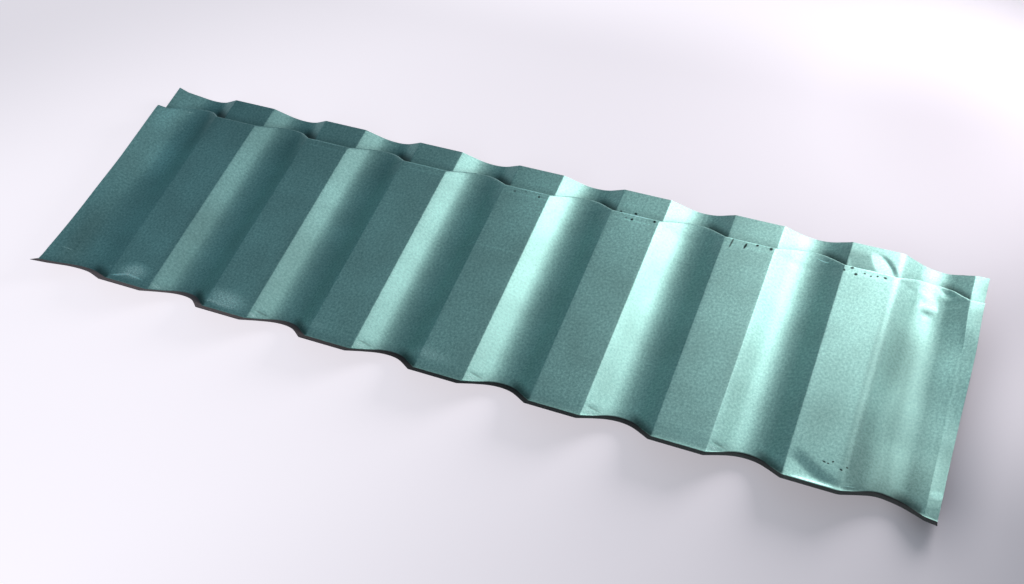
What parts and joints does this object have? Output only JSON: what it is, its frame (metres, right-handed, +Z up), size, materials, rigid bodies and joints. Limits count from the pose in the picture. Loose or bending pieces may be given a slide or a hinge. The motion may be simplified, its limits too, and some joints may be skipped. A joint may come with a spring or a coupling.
{
  "type": "corrugated metal roof sheet",
  "caption": "Pressed steel roof-tile sheet lying back side up, with round-bottomed troughs between flat ribs, an upturned nose edge and a stepped-down flange.",
  "frame": {"origin": "on the floor, under the centre of the sheet's bounding box", "axes": "+X along the row of troughs, +Y from the upturned nose to the stepped flange, +Z up from the floor the sheet lies on"},
  "size_m": [1.3518, 0.425, 0.0516],
  "materials": {
    "coated_steel": "metallic green resin coat on zinc-coated steel, satin, with a dark grey coat on the nose edge"
  },
  "bodies": {
    "root": {"corrugated_sheet": "coated_steel"}
  },
  "joints": []
}
